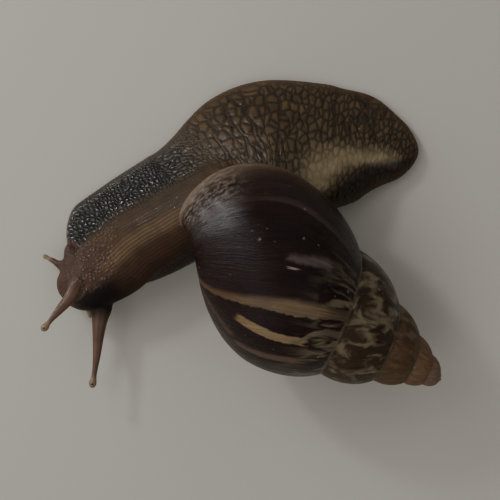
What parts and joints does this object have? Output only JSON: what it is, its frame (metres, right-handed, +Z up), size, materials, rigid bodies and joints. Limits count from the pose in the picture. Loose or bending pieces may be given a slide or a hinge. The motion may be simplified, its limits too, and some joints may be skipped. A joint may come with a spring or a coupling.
{
  "type": "giant african land snail",
  "caption": "Life-size crawling giant African land snail: long conical streaked shell on a broad pebbled foot, with a striped neck and feelers held out.",
  "frame": {"origin": "middle of the bounding box in plan, on the level of the sole", "axes": "+Z up from the sole; +X from the head end to the tail end, along the length; +Y to the animal's right, away from the shell's tip"},
  "size_m": [0.1054, 0.0814, 0.043],
  "materials": {
    "shell": "glossy purplish brown shell with cream streaks",
    "mantle": "smooth moist flesh",
    "skin": "moist pebbled skin, dark brown with a pale ridge",
    "feeler": "smooth moist skin, light brown",
    "eye": "glossy black"
  },
  "bodies": {
    "root": {"shell": "shell", "mantle_collar": "mantle", "foot_front": "skin", "foot_middle": "skin", "tail": "skin", "neck": "skin", "head": "skin", "eye_right": "eye", "upper_tentacle_right": "feeler", "eye_left": "eye", "upper_tentacle_left": "feeler", "lower_tentacle_right": "feeler", "lower_tentacle_left": "feeler"}
  },
  "joints": []
}
